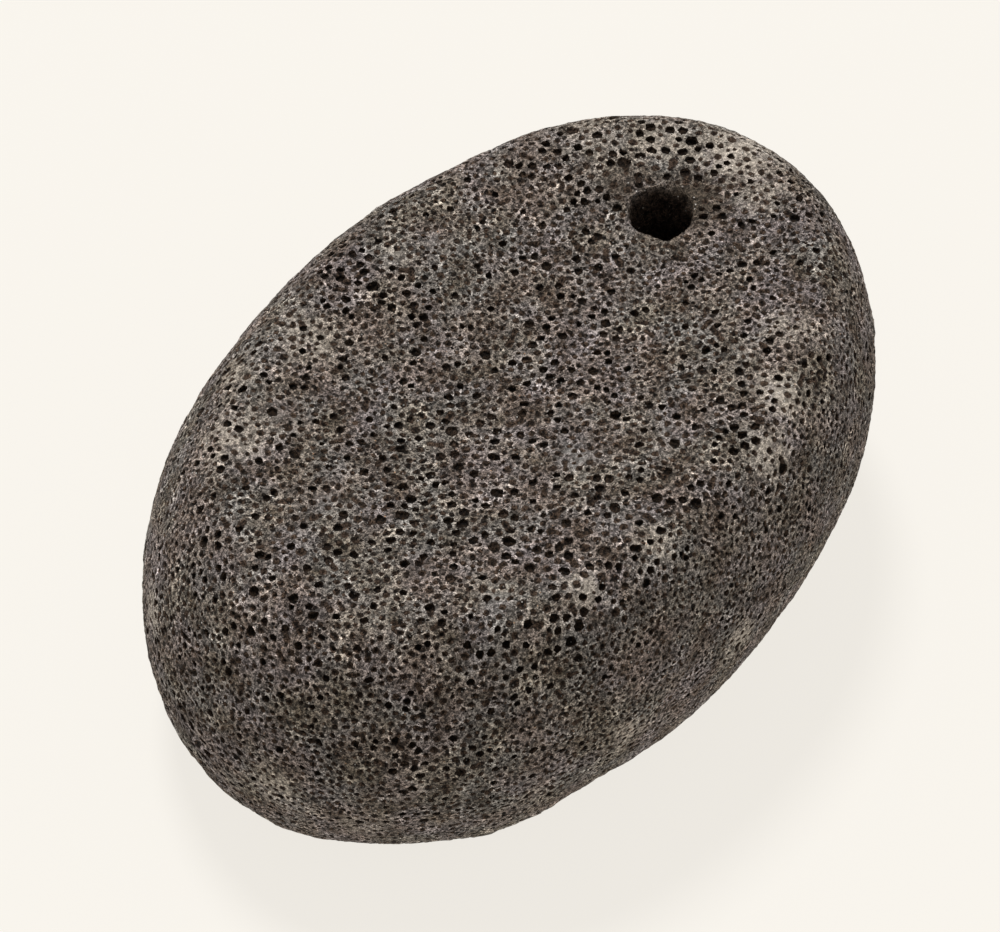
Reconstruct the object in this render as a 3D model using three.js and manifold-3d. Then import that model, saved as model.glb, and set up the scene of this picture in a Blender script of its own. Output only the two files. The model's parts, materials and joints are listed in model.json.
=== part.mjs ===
// A worn pebble of porous lava: a thick oval stone with a flat sole, bulging walls and a
// gently dished top, drilled through near one end so that it can hang from a cord.
// Millimetres, +Z up. The origin lies on the sole's plane, below the middle of the stone.
import * as THREE from 'three';
import { mergeVertices } from 'three/addons/utils/BufferGeometryUtils.js';
import Module from 'manifold-3d';

// Driving dimensions.
const LENGTH = 105;
const WIDTH = 73.7;
const HEIGHT = 41.7;
const WAIST_HEIGHT = 21.5; // where the stone is widest
const CREST_INSET = 9.5; // from the waist in to the crest that rings the top
const SOLE_INSET = 8.5; // from the waist in to the edge of the sole
const DISH_DEPTH = 1.8; // how far the worn top dips inside the crest

// How the curves bend. Each exponent is a superellipse's: 2 is an ellipse, less is slacker
// and more is squarer.
const UPPER_WALL_EXPONENT = 1.76;
const LOWER_WALL_EXPONENT = 1.8;
const OUTLINE_EXPONENT = 2.07;
const LEAN = { x: 2.2, y: -2.4 }; // how far the top lies off the sole
const TAPER = 0.012; // share of its width that the drilled end loses

// The hole for the cord, which is straight up and down, with mouths worn wider than the drill.
const HOLE = { x: 30, y: 1.5, diameter: 8, mouthDiameter: 9.2, wearDepth: 0.9 };
const TOP_MOUTH_HEIGHT = 41.3; // where the hole comes out of the top
const DRILL_OVERRUN = 5; // how far the drill that cuts it runs past each face

// Hollows worn into the stone, each round a point of its surface. A negative depth is a swelling.
const HOLLOWS = [
  { x: -22, y: -33, z: 6, reach: 9, depth: 0.7 },
  { x: -34, y: -27, z: 5, reach: 7, depth: -0.5 },
  { x: -43, y: -17, z: 6, reach: 9, depth: 0.6 },
  { x: 23, y: 31, z: 36, reach: 10, depth: 0.6 },
  { x: -10, y: 35, z: 27, reach: 10, depth: 0.4 },
  { x: -42, y: 19, z: 24, reach: 12, depth: 0.3 },
  { x: 50, y: 6, z: 16, reach: 13, depth: 0.6 },
  { x: 14, y: 35, z: 12, reach: 13, depth: 0.8 },
  { x: 29, y: -30, z: 20, reach: 14, depth: -0.2 },
  { x: 12, y: -36, z: 14, reach: 10, depth: 0.3 },
  { x: -14, y: 9, z: 40, reach: 17, depth: 0.6 },
  { x: 6, y: -20, z: 41, reach: 12, depth: -0.4 },
];

// How finely the surface is divided.
const STEPS_AROUND = 84;
const WALL_STEPS = 9;
const DISH_STEPS = 7;
const HOLE_SIDES = 32;
const WELD_DISTANCE = 1e-4; // points closer than this are one

const HALF_LENGTH = LENGTH / 2;
const HALF_WIDTH = WIDTH / 2;
const CREST_RADIUS = HALF_WIDTH - CREST_INSET;
const SOLE_RADIUS = HALF_WIDTH - SOLE_INSET;

const wasm = await Module();
wasm.setup();

// One point of a superellipse's first quarter: at turn 0 it is (1, 0), at turn 1 it is (0, 1).
function quarter(turn, exponent) {
  const angle = (turn * Math.PI) / 2;
  // The last point's cosine is a rounding error above zero, which a root would enlarge.
  const across = turn === 1 ? 0 : Math.cos(angle) ** (2 / exponent);
  return { across, along: Math.sin(angle) ** (2 / exponent) };
}

// The stone's half section over its width, from the middle of the sole round the wall to the
// middle of the dish.
function section() {
  const points = [new THREE.Vector2(0, 0)];
  for (let step = 0; step <= WALL_STEPS; step += 1) {
    const { across, along } = quarter(1 - step / WALL_STEPS, LOWER_WALL_EXPONENT);
    points.push(new THREE.Vector2(SOLE_RADIUS + SOLE_INSET * across, WAIST_HEIGHT * (1 - along)));
  }
  for (let step = 1; step <= WALL_STEPS; step += 1) {
    const { across, along } = quarter(step / WALL_STEPS, UPPER_WALL_EXPONENT);
    const rise = (HEIGHT - WAIST_HEIGHT) * along;
    points.push(new THREE.Vector2(CREST_RADIUS + CREST_INSET * across, WAIST_HEIGHT + rise));
  }
  for (let step = 1; step <= DISH_STEPS; step += 1) {
    const share = 1 - step / DISH_STEPS;
    const dip = (DISH_DEPTH * (1 + Math.cos(Math.PI * share))) / 2;
    points.push(new THREE.Vector2(CREST_RADIUS * share, HEIGHT - dip));
  }
  return points;
}

// Draws the round lathed form out to the stone's oval: the wall keeps its inset all the way round,
// and the top and the sole keep their edge's proportions down to the middle.
function stretchToOval(point) {
  const radius = Math.hypot(point.x, point.y);
  const edge = point.z < WAIST_HEIGHT ? SOLE_RADIUS : CREST_RADIUS;
  const reach = Math.max(radius, edge);
  const angle = Math.atan2(point.y, point.x);
  const squareness =
    (Math.abs(Math.cos(angle)) ** OUTLINE_EXPONENT +
      Math.abs(Math.sin(angle)) ** OUTLINE_EXPONENT) ** (-1 / OUTLINE_EXPONENT);
  point.x *= (squareness * (reach + HALF_LENGTH - HALF_WIDTH)) / reach;
  point.y *= squareness * (1 - (TAPER * point.x) / HALF_LENGTH);
}

// Shifts each level sideways, so that the top leans off the sole.
function lean(point) {
  const share = (point.z - WAIST_HEIGHT) / HEIGHT;
  point.x += LEAN.x * share;
  point.y += LEAN.y * share;
}

// Presses the hollows in towards the stone's middle and leaves the sole flat.
function wearHollows(point) {
  const onSole = point.z === 0;
  const inward = new THREE.Vector3(0, 0, WAIST_HEIGHT).sub(point).normalize();
  const worn = new THREE.Vector3();
  for (const hollow of HOLLOWS) {
    const distance = point.distanceTo(new THREE.Vector3(hollow.x, hollow.y, hollow.z));
    worn.addScaledVector(inward, hollow.depth * Math.exp(-((distance / hollow.reach) ** 2)));
  }
  point.add(worn);
  if (onSole) point.z = 0;
}

// The undrilled stone.
function pebbleGeometry() {
  const geometry = new THREE.LatheGeometry(section(), STEPS_AROUND);
  geometry.rotateX(Math.PI / 2);
  const position = geometry.getAttribute('position');
  const point = new THREE.Vector3();
  for (let index = 0; index < position.count; index += 1) {
    point.fromBufferAttribute(position, index);
    if (Math.abs(point.z) < WELD_DISTANCE) point.z = 0;
    stretchToOval(point);
    lean(point);
    wearHollows(point);
    position.setXYZ(index, point.x, point.y, point.z);
  }
  return geometry;
}

// The drill that makes the hole: a straight shank that flares where it leaves each face.
function drillGeometry() {
  const shank = HOLE.diameter / 2;
  const mouth = HOLE.mouthDiameter / 2;
  const points = [
    new THREE.Vector2(0, -DRILL_OVERRUN),
    new THREE.Vector2(mouth, -DRILL_OVERRUN),
    new THREE.Vector2(mouth, 0),
    new THREE.Vector2(shank, HOLE.wearDepth),
    new THREE.Vector2(shank, TOP_MOUTH_HEIGHT - HOLE.wearDepth),
    new THREE.Vector2(mouth, TOP_MOUTH_HEIGHT),
    new THREE.Vector2(mouth, TOP_MOUTH_HEIGHT + DRILL_OVERRUN),
    new THREE.Vector2(0, TOP_MOUTH_HEIGHT + DRILL_OVERRUN),
  ];
  const geometry = new THREE.LatheGeometry(points, HOLE_SIDES);
  geometry.rotateX(Math.PI / 2);
  geometry.translate(HOLE.x, HOLE.y, 0);
  return geometry;
}

// A closed geometry as a solid that can be cut.
function solidFrom(geometry) {
  geometry.deleteAttribute('normal');
  geometry.deleteAttribute('uv');
  const merged = mergeVertices(geometry, WELD_DISTANCE);
  const triVerts = new Uint32Array(merged.index.array);
  return new wasm.Manifold(
    new wasm.Mesh({ numProp: 3, vertProperties: merged.attributes.position.array, triVerts }),
  );
}

// A cut solid as a geometry again.
function geometryFrom(solid) {
  const mesh = solid.getMesh();
  const geometry = new THREE.BufferGeometry();
  geometry.setAttribute('position', new THREE.BufferAttribute(mesh.vertProperties, 3));
  geometry.setIndex(new THREE.BufferAttribute(mesh.triVerts, 1));
  geometry.computeVertexNormals();
  return geometry;
}

// Moves a geometry so that the origin is below its middle, on the plane that it stands on.
function standOnOrigin(geometry) {
  geometry.computeBoundingBox();
  const middle = geometry.boundingBox.getCenter(new THREE.Vector3());
  geometry.translate(-middle.x, -middle.y, -geometry.boundingBox.min.z);
}

const stoneGeometry = geometryFrom(
  solidFrom(pebbleGeometry()).subtract(solidFrom(drillGeometry())),
);
standOnOrigin(stoneGeometry);

const lava = new THREE.MeshStandardMaterial({ color: '#58504a', roughness: 0.95, metalness: 0 });
const stone = new THREE.Mesh(stoneGeometry, lava);
stone.name = 'stone';

const part = new THREE.Group();
part.add(stone);

export default part;
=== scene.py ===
"""A worn pebble of porous lava with a drilled hole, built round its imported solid.

The solid gives the stone's form. This script lays a web of open bubbles over that form, sinks
each bubble into the stone as a pit of its own, lines the drilled hole, roughens the skin, and
gives the whole a dry, patchy, grey-brown finish.

Lengths are millimetres while the stone is shaped, and metres once it is in the scene.
"""

import json
import logging
import math
import random
from collections import defaultdict
from dataclasses import dataclass, field
from enum import Enum
from functools import partial
from typing import Iterator

import bmesh
import bpy
from bmesh.types import BMEdge, BMFace, BMesh, BMVert
from bpy.types import Material, Node, NodeSocket, NodeTree, Object
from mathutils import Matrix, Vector, noise
from mathutils.bvhtree import BVHTree
from mathutils.kdtree import KDTree


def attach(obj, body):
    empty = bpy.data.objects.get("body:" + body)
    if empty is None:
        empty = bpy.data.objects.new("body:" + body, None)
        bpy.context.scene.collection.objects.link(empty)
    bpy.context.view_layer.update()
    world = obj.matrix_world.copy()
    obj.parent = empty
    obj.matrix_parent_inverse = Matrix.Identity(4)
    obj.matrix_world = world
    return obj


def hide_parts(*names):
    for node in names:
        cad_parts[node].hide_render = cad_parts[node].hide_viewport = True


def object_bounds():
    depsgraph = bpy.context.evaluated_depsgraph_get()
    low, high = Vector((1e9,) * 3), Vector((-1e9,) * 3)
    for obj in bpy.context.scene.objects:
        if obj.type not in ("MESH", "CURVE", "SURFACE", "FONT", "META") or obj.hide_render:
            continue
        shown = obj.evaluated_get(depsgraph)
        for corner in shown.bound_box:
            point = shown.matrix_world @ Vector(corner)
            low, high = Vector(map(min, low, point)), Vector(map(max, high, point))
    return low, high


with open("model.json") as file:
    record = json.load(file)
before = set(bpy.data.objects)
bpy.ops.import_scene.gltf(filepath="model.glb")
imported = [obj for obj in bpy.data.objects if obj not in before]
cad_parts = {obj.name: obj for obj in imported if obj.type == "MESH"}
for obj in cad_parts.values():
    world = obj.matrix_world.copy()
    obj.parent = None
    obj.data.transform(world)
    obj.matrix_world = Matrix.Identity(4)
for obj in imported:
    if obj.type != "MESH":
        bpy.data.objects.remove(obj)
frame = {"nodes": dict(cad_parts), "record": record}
cad_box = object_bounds()

MM = 0.001
WELD = 0.002
SEED = 7
UP = Vector((0.0, 0.0, 1.0))
Colour = tuple[float, float, float]
Span = tuple[float, float]
Ramp = tuple[float, float, float, float]
Value = NodeSocket | float

log = logging.getLogger("stone")


class PoreSize(Enum):
    """The kinds of bubble in the lava: smallest radius, largest radius, and throws for a place."""

    WIDE = (0.50, 0.64, 700)
    COMMON = (0.36, 0.50, 38000)
    NARROW = (0.25, 0.36, 18500)


class Tint(Enum):
    """The colours that weather leaves in patches, by the name of the attribute that holds each."""

    CREAM = "cream"
    SLATE = "slate"
    UMBER = "umber"


@dataclass(frozen=True)
class Patch:
    """A weathered patch of the skin.

    Attributes:
        tint: Its colour.
        x: How far along the stone its middle lies.
        y: How far across the stone.
        z: How high up the stone.
        radius: How far it reaches.
        strength: How much of the skin it covers at its middle, where 1 is nearly all.
    """

    tint: Tint
    x: float
    y: float
    z: float
    radius: float
    strength: float

    def amount(self, point: Vector) -> float:
        """How much of the skin it covers at a point."""
        gap = (point - Vector((self.x, self.y, self.z))).length / self.radius
        return self.strength * max(0.0, 1.0 - gap * gap)


@dataclass
class Weathering:
    """The patches that wear and dirt have left on the stone.

    Attributes:
        top: Height of the patches that lie on the stone's upper face.
        scattered: How many small patches lie all over the rest of the skin.
        small: The least and the greatest radius of those.
        faint: The least and the greatest strength of those.
        patches: Every patch that has been laid.
    """

    top: float = 41.5
    scattered: int = 46
    small: Span = (2.0, 5.5)
    faint: Span = (0.3, 0.6)
    patches: list[Patch] = field(default_factory=list)

    def lay(self, pebble: "Pebble", chance: random.Random) -> None:
        """Lays every patch.

        Args:
            pebble: The form that they lie on.
            chance: Where the random numbers come from.
        """
        self.rub_shoulders()
        self.bare_smooth_places()
        self.soil()
        tints = (Tint.CREAM, Tint.SLATE, Tint.UMBER)
        for number, (point, _) in enumerate(pebble.throw(chance, self.scattered)):
            radius = chance.uniform(*self.small)
            strength = chance.uniform(*self.faint)
            self.patches.append(Patch(tints[number % len(tints)], *point, radius, strength))

    def rub_shoulders(self) -> None:
        """Lays the cream patches where handling has rubbed the shoulders pale."""
        rubbed = partial(Patch, Tint.CREAM)
        self.patches += [
            rubbed(43, 0, self.top, 9.0, 1.0),
            rubbed(39, 9, self.top, 7.0, 0.85),
            rubbed(34, 16, self.top, 6.0, 0.75),
            rubbed(40, -6, self.top, 6.0, 0.75),
            rubbed(25, -21, self.top, 5.5, 0.75),
            rubbed(17, -27, self.top, 5.5, 1.0),
            rubbed(10, -31, 40, 5.5, 0.95),
            rubbed(-10, -29, 41, 5.5, 0.7),
            rubbed(-20, -27, 41, 4.5, 0.8),
            rubbed(5, 22, self.top, 4.5, 0.7),
            rubbed(-12, 22, self.top, 6.5, 0.85),
            rubbed(-21, 25, 40, 5.5, 0.8),
            rubbed(-29, 19, 41, 7.0, 0.85),
            rubbed(-45, 18, 25, 5.0, 0.9),
            rubbed(-51, -6, 17, 5.5, 0.9),
            rubbed(-46, -15, 12, 5.0, 0.8),
            rubbed(-2, -36, 21, 4.5, 1.0),
            rubbed(-20, -34, 19, 5.5, 0.85),
        ]

    def bare_smooth_places(self) -> None:
        """Lays the slate-grey patches where the lava is close-grained and smooth."""
        smooth = partial(Patch, Tint.SLATE)
        self.patches += [
            smooth(37, -1, self.top, 9.0, 0.58),
            smooth(31, 10, self.top, 7.0, 0.43),
            smooth(-6, -14, self.top, 6.0, 0.68),
            smooth(3, -20, self.top, 5.0, 0.58),
            smooth(-27, -20, self.top, 5.0, 0.65),
            smooth(10, 19, self.top, 4.5, 0.58),
            smooth(-29, 4, self.top, 4.5, 0.58),
            smooth(-37, -11, self.top, 5.0, 0.5),
            smooth(-24, 17, self.top, 7.0, 0.58),
            smooth(18, -20, self.top, 5.0, 0.43),
        ]

    def soil(self) -> None:
        """Lays the brown stains, the strongest round the hole."""
        soiled = partial(Patch, Tint.UMBER)
        self.patches += [
            soiled(34, 0, self.top, 7.0, 1.3),
            soiled(33, 5, self.top, 6.0, 0.9),
            soiled(30, 7.5, self.top, 4.5, 1.1),
            soiled(26, -1, self.top, 6.0, 0.8),
            soiled(-22, 8, 40, 9.0, 0.45),
            soiled(4, 6, 40, 11.0, 0.4),
            soiled(-25, -27, 38, 6.5, 0.5),
            soiled(20, 25, 41, 6.0, 0.5),
            soiled(25, -13, self.top, 6.0, 0.4),
        ]

    def amount(self, tint: Tint, point: Vector) -> float:
        """How much of one tint lies at a point."""
        return max(patch.amount(point) for patch in self.patches if patch.tint is tint)


@dataclass(frozen=True)
class Pore:
    """One bubble that the worn skin has cut open.

    Attributes:
        centre: Where it lies on the stone's form.
        normal: Which way its mouth faces.
        radius: Half the width of its mouth.
        depth: How deep it is.
        pit_shade: How much painted shade darkens its pit, from 0, as pale inside as the skin, to 1,
            black inside.
        slant: The way along the skin in which it was drawn out.
        stretch: How much longer it is that way, as a share of its width.
    """

    centre: Vector
    normal: Vector
    radius: float
    depth: float
    pit_shade: float
    slant: Vector
    stretch: float

    def flat_way(self, point: Vector) -> Vector:
        """The direction from its middle to a point, laid flat on the skin."""
        offset = point - self.centre
        return (offset - self.normal * offset.dot(self.normal)).normalized()

    def reach(self, way: Vector) -> float:
        """How far its rim lies from its middle in a direction along the skin."""
        return self.radius * (1 + self.stretch * (way.dot(self.slant) ** 2 - 0.5))


@dataclass(frozen=True)
class Hole:
    """The drilled hole for a cord, straight up and down through the stone.

    Attributes:
        x: Where its axis lies along the stone.
        y: Where its axis lies across the stone.
        radius: Half its width inside.
        mouth_radius: Half its width at either mouth, where it is worn.
        wear_depth: How deep the wear reaches.
        reach: Everything of the solid nearer to its axis than this is part of it.
        sides: How many sides a mouth has before its sides are halved.
        rows: How many rings of knots line the wall between the mouths.
        even_rows: How evenly the rows are spaced, from 0 to 1.
        chipped: The share of a mouth's knots that is chipped away.
        chip: How far the least and the greatest chip reach out.
        out_of_round: How far a mouth is drawn out of round by chance.
        mouth_lumps: How often and how far it is besides.
        uneven_mouth: How far in and out the other knots of a mouth may lie.
        uneven_wall: How far in and out those of the wall may lie.
        wall_lumps: The width and the height of the lumps in the wall.
        off_row: How far off its row a knot may lie, as a share of the room between rows.
        cut_bubbles: The share of the wall's knots that lie in a bubble.
        bubbles_from: How far inside the mouths the first of those lie.
        bubble: How deep the shallowest and the deepest of them lie.
        dark: How hollow the wall counts as at the mouths, and the depth that adds 1 to it; this
            paints the wall darker with depth, as painted shade.
        dark_bubble: How hollow its bubbles count as, which paints them dark as painted shade.
    """

    x: float
    y: float
    radius: float = 3.85
    mouth_radius: float = 4.2
    wear_depth: float = 0.5
    reach: float = 4.7
    sides: int = 26
    rows: int = 25
    even_rows: float = 0.22
    chipped: float = 0.3
    chip: Span = (0.12, 0.4)
    out_of_round: float = 0.08
    mouth_lumps: Span = (1.3, 0.3)
    uneven_mouth: Span = (-0.07, 0.07)
    uneven_wall: Span = (-0.16, 0.12)
    wall_lumps: Span = (1.9, 0.45)
    off_row: float = 0.12
    cut_bubbles: float = 0.25
    bubbles_from: float = 1.2
    bubble: Span = (0.3, 0.75)
    dark: Span = (0.07, 22.0)
    dark_bubble: float = 0.55

    def distance(self, point: Vector) -> float:
        """How far a point lies from the hole's axis."""
        return math.hypot(point.x - self.x, point.y - self.y)

    def outward(self, point: Vector) -> Vector:
        """The level direction from the hole's axis to a point."""
        return Vector((point.x - self.x, point.y - self.y, 0.0)).normalized()

    def row_depth(self, row: int, length: float) -> float:
        """How far a row of knots lies from the nearer mouth: close together there, then wider.

        Args:
            row: The row's number, from the top mouth down.
            length: How far apart the mouths are.

        Returns:
            The depth.
        """
        last = self.rows + 1
        share = min(row, last - row) / (last / 2)
        return length / 2 * (self.even_rows * share + (1 - self.even_rows) * share**2)


class Pebble:
    """The stone's own solid with its hole closed: the form that everything is laid on."""

    def __init__(self, node: Object, hole: Hole) -> None:
        """Reads the solid and closes its hole.

        Args:
            node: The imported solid.
            hole: The hole that is closed over.
        """
        form = bmesh.new()
        form.from_mesh(node.data)
        bmesh.ops.scale(form, vec=Vector((1, 1, 1)) / MM, verts=form.verts)
        bmesh.ops.remove_doubles(form, verts=form.verts, dist=WELD)
        drilled = [
            face
            for face in form.faces
            if all(hole.distance(vert.co) < hole.reach for vert in face.verts)
        ]
        bmesh.ops.delete(form, geom=drilled, context="FACES")
        rims = [edge for edge in form.edges if edge.is_boundary]
        bmesh.ops.holes_fill(form, edges=rims, sides=0)
        bmesh.ops.triangulate(form, faces=form.faces)
        bmesh.ops.recalc_face_normals(form, faces=form.faces)
        self.tree = BVHTree.FromBMesh(form)
        corners = [vert.co for vert in form.verts]
        self.low = Vector([min(co[axis] for co in corners) for axis in range(3)])
        self.high = Vector([max(co[axis] for co in corners) for axis in range(3)])
        self.middle = (self.low + self.high) / 2
        self.half = (self.high - self.low) / 2
        self.triangles = [[vert.co.copy() for vert in face.verts] for face in form.faces]
        self.areas = [face.calc_area() for face in form.faces]
        form.free()

    def nearest(self, point: Vector) -> tuple[Vector, Vector]:
        """The nearest point of the form and the way it faces."""
        place, normal, _, _ = self.tree.find_nearest(point)
        return place, normal

    def throw(self, chance: random.Random, count: int) -> Iterator[tuple[Vector, Vector]]:
        """Throws points on the form at random, as many to each square millimetre.

        Args:
            chance: Where the random numbers come from.
            count: How many points to throw.

        Returns:
            Each point with the way the form faces there.
        """
        for corner_a, corner_b, corner_c in chance.choices(self.triangles, self.areas, k=count):
            across, along = chance.random(), chance.random()
            if across + along > 1:
                across, along = 1 - across, 1 - along
            side_b, side_c = corner_b - corner_a, corner_c - corner_a
            yield corner_a + side_b * across + side_c * along, side_b.cross(side_c).normalized()

    def on_ball(self, point: Vector) -> Vector:
        """The place on a unit ball that stands for a point of the form."""
        offset = point - self.middle
        return Vector([offset[axis] / self.half[axis] for axis in range(3)]).normalized()


@dataclass
class PoreField:
    """The bubbles over the whole skin, thrown from the widest down so that few meet.

    Attributes:
        pebble: The form that they lie on.
        hole: The drilled hole, which they keep clear of.
        weathering: The patches, which have fewer of them where they are smooth.
        chance: Where the random numbers come from.
        wall: The least, the greatest and the commonest room between two bubbles.
        edge: How much of a bubble stays clear of the hole's mouth, as a share of its radius.
        drift: The width of the places where the bubbles run coarse or fine.
        uneven: How much coarser or finer they run there.
        fine_flank: How much finer they run where the skin faces the stone's -Y side.
        flank_from: How far the skin has to face that way before they do.
        sole_height: Below this the skin is worn smoother, by what the stone stands on.
        sole_closed: The share of the bubbles that is closed there.
        smooth_closed: The share that is closed in the middle of a smooth patch.
        cream_smooth: How smooth a cream patch counts as, where a slate one is 1.
        cut: The least, the greatest and the commonest height, above a bubble's middle and as a
            share of its radius, at which the skin cuts it.
        palest: The painted shade in the palest bubble's pit.
        shadier: How much more painted shade there may be by chance, and how much more in a deep
            bubble.
        shallow: A bubble cut lower than this gets no less painted shade for it.
        longest: How far a bubble may be drawn out, before the next two act on it.
        rarely: The power that makes long bubbles rare.
        drawn: The factor that makes up for it.
        cell: The grid cell's width for looking up neighbours.
        pores: Every bubble that has been cut open.
        grid: The bubbles' numbers by grid cell.
    """

    pebble: Pebble
    hole: Hole
    weathering: Weathering
    chance: random.Random
    wall: tuple[float, float, float] = (0.0, 0.30, 0.05)
    edge: float = 0.95
    drift: float = 17.0
    uneven: float = 0.3
    fine_flank: float = 0.25
    flank_from: float = 0.25
    sole_height: float = 0.6
    sole_closed: float = 0.45
    smooth_closed: float = 0.35
    cream_smooth: float = 0.8
    cut: tuple[float, float, float] = (-0.65, 0.6, 0.1)
    palest: float = 0.38
    shadier: Span = (0.62, 0.45)
    shallow: float = -0.3
    longest: float = 0.55
    rarely: float = 1.5
    drawn: float = 1.4
    cell: float = 2.2
    pores: list[Pore] = field(default_factory=list)
    grid: dict[tuple[int, int, int], list[int]] = field(default_factory=lambda: defaultdict(list))

    def address(self, point: Vector) -> tuple[int, int, int]:
        """The grid cell that holds a point."""
        return tuple(math.floor(value / self.cell) for value in point)

    def has_room(self, point: Vector, reach: float) -> bool:
        """Whether a bubble of this reach, wall included, would touch no other.

        Args:
            point: The bubble's middle.
            reach: Its radius and its wall.

        Returns:
            True if there is room.
        """
        column, row, layer = self.address(point)
        for across in (column - 1, column, column + 1):
            for along in (row - 1, row, row + 1):
                for up in (layer - 1, layer, layer + 1):
                    for index in self.grid.get((across, along, up), ()):
                        other = self.pores[index]
                        if (other.centre - point).length < other.radius + reach:
                            return False
        return True

    def coarseness(self, point: Vector, normal: Vector) -> float:
        """How wide the bubbles run at a place, as a factor: the froth set unevenly.

        Args:
            point: A place on the form.
            normal: The way it faces.

        Returns:
            A factor of about 0.75 to 1.2.
        """
        coarser = noise.noise(point / self.drift) * self.uneven
        finer = self.fine_flank * max(0.0, -normal.y - self.flank_from)
        return 1.0 + coarser - finer

    def is_closed(self, point: Vector) -> bool:
        """Whether smooth skin closes over a bubble.

        Args:
            point: The bubble's middle.

        Returns:
            True if the skin is closed there.
        """
        slate, cream = (self.weathering.amount(tint, point) for tint in (Tint.SLATE, Tint.CREAM))
        smooth = max(slate, cream * self.cream_smooth)
        worn_sole = self.sole_closed if point.z < self.sole_height else 0.0
        return self.chance.random() < max(smooth * self.smooth_closed, worn_sole)

    def fill(self) -> None:
        """Throws every kind of bubble."""
        for size in PoreSize:
            smallest, largest, throws = size.value
            for point, normal in self.pebble.throw(self.chance, throws):
                radius = self.chance.uniform(smallest, largest) * self.coarseness(point, normal)
                wall = self.chance.triangular(*self.wall)
                if self.hole.distance(point) < self.hole.mouth_radius + radius * self.edge:
                    continue
                if not self.has_room(point, radius + wall) or self.is_closed(point):
                    continue
                self.grid[self.address(point)].append(len(self.pores))
                self.pores.append(self.cut_open(point, normal, radius))

    def cut_open(self, point: Vector, normal: Vector, radius: float) -> Pore:
        """Cuts a bubble open above or below its middle, which sets how deep it is.

        Args:
            point: The middle of its mouth.
            normal: The way its mouth faces.
            radius: Half the width of its mouth.

        Returns:
            The bubble.
        """
        chance = self.chance
        cut = chance.triangular(*self.cut)
        depth = radius * (1 + cut) / math.sqrt(1 - cut * cut)
        # How dark the pit is painted: painted shade, more by chance and more where the bubble is cut
        # deep.
        by_chance, by_depth = self.shadier
        pit_shade = self.palest + by_chance * chance.random() + by_depth * max(cut, self.shallow)
        slant = normal.cross(Vector([chance.uniform(-1, 1) for _ in range(3)])).normalized()
        stretch = chance.uniform(0.0, self.longest) ** self.rarely * self.drawn
        return Pore(point, normal, radius, depth, min(1.0, pit_shade), slant, stretch)


@dataclass(frozen=True)
class FlatMap:
    """The whole skin laid out flat, with every pit where its mouth is, to bake colours on.

    The top and the sole lie side by side, as seen from above and from below. The wall is unrolled
    in two strips under them, beside the hole's wall.

    Attributes:
        pebble: The form that is laid out.
        hole: The drilled hole.
        width: The map's width.
        height: The map's height.
        gap: How far apart the pieces of the map lie.
        half_top: Half the length and width that the top or the sole takes up.
        lowest: The height at which the sole's piece ends and the wall's starts.
        highest: The height at which the wall's piece ends and the top's starts.
        strip: The height of one of the wall's strips.
        margin: How far up its strip the wall starts.
        wall_radius: The radius that the wall is unrolled at.
        hole_radius: The radius that the hole's wall is unrolled at.
    """

    pebble: Pebble
    hole: Hole
    width: float = 206.0
    height: float = 154.0
    gap: float = 2.0
    half_top: Span = (50.0, 35.0)
    lowest: float = 2.6
    highest: float = 38.4
    strip: float = 38.0
    margin: float = 1.0
    wall_radius: float = 52.0
    hole_radius: float = 4.1

    @staticmethod
    def turns(spots: list[Vector], about: Vector, half: Vector) -> list[float]:
        """Each spot's angle round an upright axis, with no jump inside a face.

        Args:
            spots: The face's corners.
            about: A point of the axis.
            half: Half the size of the oval that is unrolled.

        Returns:
            The angles, of which the mean lies from 0 to a full turn.
        """
        offsets = [spot - about for spot in spots]
        angles = [math.atan2(offset.y / half.y, offset.x / half.x) for offset in offsets]
        angles = [angles[0] + math.remainder(angle - angles[0], math.tau) for angle in angles]
        whole_turns = math.floor(sum(angles) / len(angles) / math.tau) * math.tau
        return [angle - whole_turns for angle in angles]

    def lay(self, spots: list[Vector], in_hole: bool) -> list[Span]:
        """Lays one face on the map.

        Args:
            spots: Where its corners lie on the form.
            in_hole: Whether the face is part of the hole's wall.

        Returns:
            Its corners' places on the map, each from 0 to 1.
        """
        middle, gap = self.pebble.middle, self.gap
        half_long, half_wide = self.half_top
        height = sum(spot.z for spot in spots) / len(spots)
        if in_hole:
            axis = Vector((self.hole.x, self.hole.y, 0.0))
            right = self.width - gap
            places = [
                (right - turn * self.hole_radius, gap + spot.z)
                for turn, spot in zip(self.turns(spots, axis, Vector((1.0, 1.0, 1.0))), spots)
            ]
        elif self.lowest < height < self.highest:
            turns = self.turns(spots, middle, self.pebble.half)
            row = int(sum(turns) / len(turns) > math.pi)
            low = gap + row * (self.strip + gap) + self.margin - self.lowest
            places = [
                (gap * 2 + (turn - row * math.pi) * self.wall_radius, low + spot.z)
                for turn, spot in zip(turns, spots)
            ]
        else:
            side = 1 if height > middle.z else -1
            across = gap + half_long if side > 0 else self.width - gap - half_long
            up = self.height - gap - half_wide
            places = [
                (across + spot.x - middle.x, up + (spot.y - middle.y) * side) for spot in spots
            ]
        return [(across / self.width, up / self.height) for across, up in places]


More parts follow.
